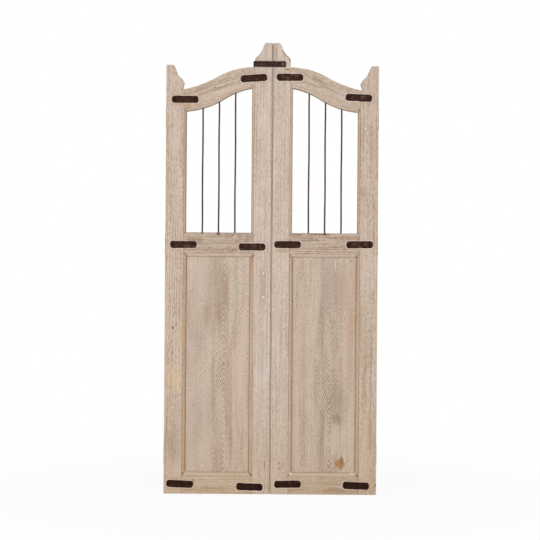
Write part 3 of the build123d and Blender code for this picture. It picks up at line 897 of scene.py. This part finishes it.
@dataclass(frozen=True)
class LatchBand:
    """The iron band across both finials: hooked round the left one, screwed to the right."""

    low: float = 2.0093
    high: float = 2.0373
    hook_x: float = -0.089
    hook_y: float = 0.0116
    face_y: float = -0.0249
    end_x: float = 0.062
    half_thick: float = 0.0025
    bend: float = 0.0045
    seed: float = 5.1
    hook_steps: int = 14
    face_steps: int = 70
    around: int = 56

    def path(self) -> tuple[np.ndarray, np.ndarray]:
        """The band's middle line seen from above, and its unit normals to the outside.

        It runs forward along the hook, round a quarter circle of 4.5 mm, and along the face.
        """
        quarter = np.linspace(0, math.pi / 2, 9)[1:-1]
        angle = np.concatenate([
            np.zeros(self.hook_steps), quarter, np.full(self.face_steps, math.pi / 2)])
        x = self.hook_x + self.bend * (1 - np.cos(angle))
        y = self.face_y + self.bend * (1 - np.sin(angle))
        x[-self.face_steps:] = np.linspace(self.hook_x + self.bend, self.end_x, self.face_steps)
        y[:self.hook_steps] = np.linspace(self.hook_y, self.face_y + self.bend, self.hook_steps)
        return np.stack([x, y], -1), np.stack([-np.cos(angle), -np.sin(angle)], -1)

    def surface(self) -> tuple[np.ndarray, np.ndarray]:
        """A flat section with filed arrises carried along the path, and drawn in at its ends.

        The section runs round the band: out across the face, over the top edge and back.
        The edges wave by up to 0.6 mm inwards and the face is hammered by 0.3 mm.

        Returns:
            The points in the gate's frame, and the quads.
        """
        line, normals = self.path()
        count = len(line)
        run = np.concatenate([[0, 0, 0], np.arange(count), [count - 1] * 3])
        lift = np.concatenate([[0, 0.80, 0.93], np.ones(count), [0.93, 0.80, 0]])
        turn = np.linspace(0, 2 * math.pi, self.around, endpoint=False)
        across = np.sign(np.sin(turn)) * np.abs(np.sin(turn)) ** 0.28
        through = np.sign(np.cos(turn)) * np.abs(np.cos(turn)) ** 0.55
        half = (self.high - self.low) / 2
        spots = np.stack([line[run, 0], line[run, 1], np.zeros(len(run))], -1)
        wave = 0.5 + 0.5 * ripple(spots, self.seed, 0.038)
        tail = np.clip((self.end_x - line[run, 0]) / 0.006, 0, 1)
        round_end = np.sqrt(1 - (1 - tail) ** 2) * 0.4 + 0.6
        reach = (half - 0.0006 * wave) * round_end
        z = (self.low + self.high) / 2 + across[None] * reach[:, None] * lift[:, None]
        face = np.stack([np.broadcast_to(line[run, :1], z.shape), np.zeros_like(z), z], -1)
        dent = ripple(face.reshape(-1, 3), self.seed * 2.1, 0.024).reshape(z.shape)
        thick = through[None] * (self.half_thick - 0.0003 + 0.0003 * dent) * lift[:, None]
        x = line[run, 0][:, None] + normals[run, 0][:, None] * thick
        y = line[run, 1][:, None] + normals[run, 1][:, None] * thick
        points = np.stack([x, y, z], -1).reshape(-1, 3)
        return points, grid_faces(len(run), self.around, True)


# The leaves


@dataclass
class GateLeaf:
    """One leaf: its boards, bars, straps, nails and hinges."""

    leaf: Leaf
    body: str = field(init=False)
    straps: dict[str, StrapPlace] = field(init=False)

    def __post_init__(self) -> None:
        """Names the body that the leaf is, and its straps' places."""
        self.body = f"{self.leaf.word}_leaf"
        self.straps = strap_places(self.leaf)

    def boards(self) -> list[BleachedBoard]:
        """The finish of each timber node."""
        left, side = self.leaf is Leaf.LEFT, self.leaf.value
        marked = LEFT_MARKS if left else RIGHT_MARKS
        corners = marked["corners"]
        shift = 0.0 if left else 3.7

        def straps(*names: str) -> tuple[StrapPlace, ...]:
            """The named straps' places."""
            return tuple(self.straps[name] for name in names)

        return [
            BleachedBoard(
                f"{self.leaf.word}_outer_stile", Grain.UPRIGHT, 1.3 + shift,
                pith_across=side * 0.52, pith_depth=0.16,
                light=srgb(212, 193, 176), dark=srgb(164, 139, 117), figure=1.35,
                straps=straps("top_outer", "mid_outer", "bottom_outer"),
                marks=marked["outer_stile"] + corners),
            BleachedBoard(
                f"{self.leaf.word}_meeting_stile", Grain.UPRIGHT, 2.9 + shift,
                pith_across=side * 0.16, pith_depth=0.13,
                light=srgb(214, 198, 184), dark=srgb(172, 149, 130), warmth=0.7, figure=1.15,
                straps=straps("top_meeting", "mid_meeting", "bottom_meeting"),
                marks=marked["meeting_stile"] + corners),
            BleachedBoard(
                f"{self.leaf.word}_top_rail", Grain.OGEE_LEFT if left else Grain.OGEE_RIGHT, 4.1 + shift,
                pith_across=-1.79 if left else -1.74, pith_depth=0.05, pith_lean=0.05,
                ring=0.0052, ring_strength=0.6,
                light=srgb(210, 192, 175), dark=srgb(164, 139, 117), figure=1.2,
                straps=straps("top_outer", "top_meeting"), shoulder_lines=True,
                marks=marked["top_rail"]),
            BleachedBoard(
                f"{self.leaf.word}_mid_rail", Grain.LEVEL, 5.6 + shift,
                pith_across=-1.20, pith_depth=0.045, pith_lean=0.02, ring=0.0046, ring_strength=0.6,
                light=srgb(201, 181, 163) if left else srgb(206, 186, 169),
                dark=srgb(142, 116, 94) if left else srgb(146, 120, 98), figure=1.4,
                straps=straps("mid_outer", "mid_meeting"), shoulder_lines=True,
                marks=marked["mid_rail"] + corners),
            BleachedBoard(
                f"{self.leaf.word}_bottom_rail", Grain.LEVEL, 7.7 + shift,
                pith_across=-0.03, pith_depth=0.06, pith_lean=0.03, ring=0.0048, ring_strength=0.6,
                light=srgb(211, 194, 174) if left else srgb(202, 182, 163),
                dark=srgb(156, 131, 106) if left else srgb(148, 122, 100), figure=1.2,
                straps=straps("bottom_outer", "bottom_meeting"), shoulder_lines=True,
                marks=marked["bottom_rail"] + corners),
            BleachedBoard(
                f"{self.leaf.word}_panel", Grain.UPRIGHT, 9.2 + shift,
                pith_across=-0.223 if left else 0.274, pith_depth=0.012,
                pith_lean=0.31 if left else -0.30,
                ring=0.0080 if left else 0.0068, ring_strength=1.35 if left else 1.65,
                light=srgb(217, 200, 183), dark=srgb(161, 138, 118), threads=0.65,
                warmth=0.45, marks=marked["panel"]),
        ]

    def build(self, iron: Material, bar_iron: Material, steel: Material) -> None:
        """Dresses the leaf's boards and hinges and makes its straps and bars.

        Args:
            iron: The straps' and nails' finish.
            bar_iron: The bars' finish.
            steel: The hinges' finish.
        """
        word = self.leaf.word
        for board in self.boards():
            wear(board.name, board.material())
        for number, (name, place) in enumerate(self.straps.items()):
            strap = ForgedStrap(place, seed=1.7 * number + 0.9 * self.leaf.value + 3.0)
            points, faces, from_edge = strap.surface()
            node = f"{word}_strap_{name}"
            make_piece(f"{node}_forged", points, faces, iron, self.body, node, from_edge)
        for number in (1, 2, 3):
            node = f"{word}_bar_{number}"
            low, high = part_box(node)
            bar = DrawnBar((low.x + high.x) / 2, low.z, high.z, (high.x - low.x) / 2,
                           seed=0.37 * number + self.leaf.value)
            points, faces = bar.surface()
            make_piece(f"{node}_drawn", points, faces, bar_iron, self.body, node)
        wear(f"{word}_strap_nails", iron)
        wear(f"{word}_hinge_screws", steel)
        for level in LEVELS:
            for part in ("leaf_plate", "wall_plate", "pin"):
                wear(f"{word}_hinge_{level}_{part}", steel)


LEFT_MARKS: dict[str, tuple[Mark, ...]] = {
    "outer_stile": marks(
        (-0.462, 0.780, 0.006, 0.008, HOLE_DIRT_AND_SHADE, 0.75, 0.3),
        (-0.457, 0.820, 0.0022, 0.012, PALE, 0.8, 0.3, 35.0),
        (-0.471, 0.951, 0.004, 0.004, PALE, 0.7, 0.3),
        (-0.435, 1.835, 0.030, 0.004, (160, 120, 84), 0.35, 0.9),
        (-0.481, 0.040, 0.007, 0.014, RUST, 0.6, 0.8)) + marks(
        (-0.458, 0.545, 0.040, 0.060, (220, 190, 152), 0.45, 0.9),
        (-0.460, 0.240, 0.034, 0.090, (158, 138, 118), 0.45, 1.2),
        (-0.425, 0.740, 0.012, 0.160, (212, 184, 150), 0.4, 1.0),
        streaky=True),
    "meeting_stile": marks(
        (-0.039, 0.9835, 0.0150, 0.083, GREY, 0.6, 0.35, 0.0, True),
        (-0.038, 1.0386, 0.0045, 0.0050, PALE, 0.85, 0.3),
        (-0.038, 0.928, 0.0060, 0.0060, PALE, 0.85, 0.4),
        (-0.052, 1.668, 0.012, 0.0022, (150, 118, 88), 0.6, 0.4, 5.0),
        (-0.026, 0.140, 0.0030, 0.022, (158, 118, 78), 0.7, 0.6),
        (-0.090, 1.100, 0.006, 0.050, (170, 135, 100), 0.45, 0.9),
        (-0.085, 2.060, 0.020, 0.020, (176, 140, 106), 0.45, 0.9)),
    "top_rail": marks(
        (-0.270, 1.912, 0.0080, 0.0018, HOLE_DIRT_AND_SHADE, 0.8, 0.3, -30.0),
        (-0.248, 1.909, 0.0070, 0.0018, HOLE_DIRT_AND_SHADE, 0.45, 0.4, 20.0),
        (-0.400, 1.822, 0.020, 0.012, (176, 138, 100), 0.55, 0.9)),
    "mid_rail": marks(
        (-0.2503, 1.226, 0.012, 0.009, DARK_RUST, 0.75, 0.6),
        (-0.174, 1.208, 0.0060, 0.0030, PALE, 0.8, 0.5, -25.0),
        (-0.355, 1.195, 0.040, 0.012, (150, 124, 102), 0.55, 1.0),
        (-0.178, 1.146, 0.020, 0.010, (162, 130, 100), 0.5, 1.0),
        (-0.3270, 1.226, 0.009, 0.006, DARK_RUST, 0.5, 0.6)),
    "bottom_rail": marks(
        (-0.363, 0.052, 0.011, 0.014, RUST, 0.6, 0.8),
        (-0.260, 0.028, 0.070, 0.006, (158, 128, 98), 0.5, 1.0)),
    "panel": marks(
        (-0.262, 0.940, 0.050, 0.150, (172, 154, 143), 0.45, 1.0),
        (-0.222, 0.950, 0.020, 0.085, (170, 136, 108), 0.45, 1.6),
        (-0.244, 0.850, 0.014, 0.060, (166, 132, 104), 0.52, 1.6),
        (-0.303, 0.850, 0.012, 0.055, (168, 134, 106), 0.52, 1.6),
        (-0.355, 0.760, 0.040, 0.200, (178, 160, 148), 0.40, 1.2),
        (-0.330, 0.360, 0.050, 0.160, (180, 164, 152), 0.40, 1.2),
        (-0.160, 0.560, 0.045, 0.220, (212, 188, 166), 0.40, 1.0),
        (-0.186, 0.260, 0.008, 0.060, (164, 132, 108), 0.45, 1.2),
        streaky=True),
    # Dark mitre lines, as painted shade in the open mitres, and a pale painted highlight on the foot
    # moulding by a corner.
    "corners": marks(
        (-0.4020, 1.123, 0.0024, 0.012, HOLE_DIRT_AND_SHADE, 0.75, 0.4, 45.0),
        (-0.0870, 1.118, 0.0024, 0.013, HOLE_DIRT_AND_SHADE, 0.75, 0.4, -45.0),
        (-0.4070, 0.0965, 0.0022, 0.012, HOLE_DIRT_AND_SHADE, 0.85, 0.3, -52.0),
        (-0.0925, 0.0905, 0.0022, 0.012, HOLE_DIRT_AND_SHADE, 0.85, 0.3, 42.0),
        (-0.3960, 0.1010, 0.010, 0.004, (228, 208, 182), 0.6, 0.6)),
}

RIGHT_MARKS: dict[str, tuple[Mark, ...]] = {
    "outer_stile": marks(
        (0.440, 1.724, 0.0050, 0.0060, PALE, 0.8, 0.4),
        (0.448, 1.706, 0.0028, 0.0028, PALE, 0.8, 0.3),
        (0.425, 1.712, 0.0028, 0.0028, PALE, 0.7, 0.3),
        (0.498, 0.047, 0.006, 0.010, RUST, 0.8, 0.6),
        (0.470, 0.300, 0.012, 0.10, (170, 138, 106), 0.45, 1.0),
        (0.420, 0.800, 0.008, 0.16, (176, 140, 104), 0.4, 1.0),
        (0.470, 1.640, 0.016, 0.09, (182, 156, 132), 0.4, 1.0)),
    "meeting_stile": marks(
        (0.0465, 0.145, 0.0034, 0.0034, HOLE_DIRT_AND_SHADE, 0.9, 0.3),
        (0.0475, 0.122, 0.0038, 0.0034, HOLE_DIRT_AND_SHADE, 0.85, 0.3),
        (0.060, 2.071, 0.0045, 0.026, (156, 110, 72), 0.85, 0.5, 42.0),
        (0.080, 2.045, 0.0050, 0.018, (150, 104, 68), 0.85, 0.5, 16.0),
        (0.068, 1.998, 0.014, 0.005, (150, 104, 68), 0.8, 0.6),
        (0.030, 2.060, 0.008, 0.040, (214, 200, 186), 0.5, 0.9),
        (0.052, 1.145, 0.028, 0.010, (172, 136, 102), 0.45, 1.0)),
    "top_rail": marks(
        (0.220, 1.945, 0.050, 0.006, (158, 126, 98), 0.6, 0.9, -24.0),
        (0.255, 1.915, 0.060, 0.005, (150, 126, 108), 0.5, 0.9, -26.0),
        (0.180, 1.930, 0.040, 0.006, (164, 140, 122), 0.5, 0.9, -20.0),
        (0.408, 1.808, 0.0035, 0.0035, (60, 46, 38), 0.85, 0.3)),
    "mid_rail": marks(
        (0.230, 1.224, 0.060, 0.0045, DARK_RUST, 0.55, 0.9),
        (0.2503, 1.226, 0.010, 0.007, DARK_RUST, 0.7, 0.6),
        (0.118, 1.222, 0.020, 0.004, (140, 96, 64), 0.6, 0.8),
        (0.300, 1.165, 0.050, 0.004, (150, 122, 98), 0.5, 1.0)),
    "bottom_rail": marks(
        (0.300, 0.022, 0.060, 0.010, (150, 118, 86), 0.45, 1.0)),
    "panel": marks(
        (0.330, 0.142, 0.023, 0.026, (164, 118, 62), 0.85, 0.5, 20.0),
        (0.337, 0.160, 0.010, 0.020, (156, 108, 56), 0.8, 0.6),
        (0.367, 0.158, 0.004, 0.006, (170, 124, 80), 0.7, 0.4)) + marks(
        (0.274, 0.990, 0.030, 0.170, (176, 158, 146), 0.45, 1.2),
        (0.330, 0.980, 0.060, 0.090, (180, 154, 138), 0.45, 1.2),
        (0.375, 0.720, 0.020, 0.280, (188, 152, 128), 0.45, 1.2),
        (0.150, 0.650, 0.018, 0.260, (194, 162, 134), 0.40, 1.2),
        (0.245, 0.300, 0.012, 0.090, (150, 126, 106), 0.50, 1.8),
        streaky=True) + marks(
        (0.312, 0.350, 0.026, 0.026, (148, 124, 104), 0.6, 1.6)) + marks(
        (0.300, 0.265, 0.030, 0.085, (214, 200, 186), 0.50, 2.0),
        (0.314, 0.450, 0.040, 0.080, (160, 140, 124), 0.38, 1.8),
        streaky=True) + marks(
        (0.302, 1.080, 0.0025, 0.030, (224, 210, 196), 0.70, 0.4),
        (0.1010, 0.908, 0.0035, 0.006, HOLE_DIRT_AND_SHADE, 0.80, 0.4),
        (0.300, 0.812, 0.0030, 0.004, RUST, 0.70, 0.4),
        (0.376, 1.101, 0.012, 0.005, (134, 104, 80), 0.5, 1.2)),
    # Dark mitre lines, as painted shade in the open mitres, and pale painted highlights on the foot
    # mouldings by the corners.
    "corners": marks(
        (0.0870, 1.119, 0.0024, 0.013, HOLE_DIRT_AND_SHADE, 0.70, 0.4, 45.0),
        (0.4030, 1.123, 0.0024, 0.012, HOLE_DIRT_AND_SHADE, 0.65, 0.4, -45.0),
        (0.4085, 0.0905, 0.0024, 0.013, HOLE_DIRT_AND_SHADE, 0.90, 0.3, 38.0),
        (0.0870, 0.0920, 0.0020, 0.010, HOLE_DIRT_AND_SHADE, 0.55, 0.4, -45.0),
        (0.3870, 0.1000, 0.017, 0.005, (236, 219, 202), 0.70, 0.6),
        (0.0980, 0.0975, 0.010, 0.006, (232, 214, 194), 0.70, 0.6)),
}


@dataclass(frozen=True)
class Studio:
    """The pale floor, the white backdrop, soft lamps and the camera."""

    distance: float = 7.0
    eye: float = 1.055
    frame_width: float = 2.54
    sky: float = 0.50
    roll: float = 0.42
    aside: float = -0.006
    front_face: float = -0.022
    sensor: float = 36.0
    floor_reach: float = 14.0

    def floor(self) -> None:
        """A wide plain sheet at ground level."""
        mesh = bpy.data.meshes.new("floor")
        corners = np.array([[-1.0, -1.0, 0.0], [1.0, -1.0, 0.0], [1.0, 1.0, 0.0], [-1.0, 1.0, 0.0]])
        mesh.from_pydata((corners * self.floor_reach).tolist(), [], [(0, 1, 2, 3)])
        mesh.materials.append(StudioWhite().material())
        sheet = bpy.data.objects.new("floor", mesh)
        bpy.context.scene.collection.objects.link(sheet)

    def world(self) -> None:
        """White to the camera and to gloss; a plain soft light to everything else."""
        world = bpy.data.worlds.new("white_studio")
        world.use_nodes = True
        bpy.context.scene.world = world
        tree = world.node_tree
        soft, white = tree.nodes["Background"], tree.nodes.new("ShaderNodeBackground")
        for light, strength in ((soft, self.sky), (white, 1.0)):
            light.inputs["Color"].default_value = (1.0, 1.0, 1.0, 1.0)
            light.inputs["Strength"].default_value = strength
        mixed = tree.nodes.new("ShaderNodeMixShader")
        tree.links.new(seen_directly(tree).socket, mixed.inputs[0])
        tree.links.new(soft.outputs[0], mixed.inputs[1])
        tree.links.new(white.outputs[0], mixed.inputs[2])
        tree.links.new(mixed.outputs[0], tree.nodes["World Output"].inputs["Surface"])

    @staticmethod
    def lamp(name: str, at: tuple[float, float, float], power: float, size: float) -> None:
        """A square soft lamp at a place, turned to the gate's middle.

        Args:
            name: The lamp's name.
            at: Its place.
            power: Its power in watts.
            size: Its side in metres.
        """
        light = bpy.data.lights.new(name, "AREA")
        light.energy = power
        light.size = size
        lamp = bpy.data.objects.new(name, light)
        lamp.location = at
        lamp.rotation_euler = (Vector((0, 0, 1.0)) - Vector(at)).to_track_quat("-Z", "Y").to_euler()
        bpy.context.scene.collection.objects.link(lamp)

    def camera(self) -> None:
        """A level camera in front of the gate, rolled and framed as the photograph is.

        Its lens shows frame_width at the gate's front face.
        """
        data = bpy.data.cameras.new("camera")
        data.sensor_width = self.sensor
        data.lens = self.sensor * (self.distance + self.front_face) / self.frame_width
        eye = bpy.data.objects.new("camera", data)
        eye.location = (self.aside, -self.distance, self.eye)
        eye.rotation_euler = (math.pi / 2, math.radians(-self.roll), 0.0)
        bpy.context.scene.collection.objects.link(eye)
        bpy.context.scene.camera = eye

    def build(self) -> None:
        """Sets up the whole studio."""
        bpy.context.scene.view_settings.view_transform = "Standard"
        self.camera()
        self.floor()
        self.world()
        self.lamp("key", (-2.4, -5.2, 1.9), 127.0, 2.2)
        self.lamp("fill", (3.2, -3.6, 1.6), 34.0, 2.6)


def main() -> None:
    """Builds the studio, both leaves and the latch."""
    logging.basicConfig(level=logging.INFO, format="%(message)s")
    Studio().build()
    iron = ForgedIron("straps", dark_rim=True).material()
    bar_iron = ForgedIron("bars", srgb(78, 60, 54), srgb(104, 76, 64), seed=2.0, pits=300.0).material()
    steel = ForgedIron(
        "hinges", srgb(74, 62, 54), srgb(112, 80, 60), rust_share=0.55, seed=4.0, pits=260.0).material()
    latch_iron = ForgedIron("latch", srgb(34, 23, 17), srgb(98, 74, 58), seed=6.0).material()
    screw_iron = ForgedIron("latch_screw", srgb(92, 76, 66), srgb(140, 118, 104), seed=8.0).material()
    for leaf in Leaf:
        GateLeaf(leaf).build(iron, bar_iron, steel)
    points, faces = LatchBand().surface()
    make_piece("latch_band", points, faces, latch_iron, "latch", "latch_strap")
    wear("latch_screw", screw_iron)


if __name__ == "__main__":
    main()
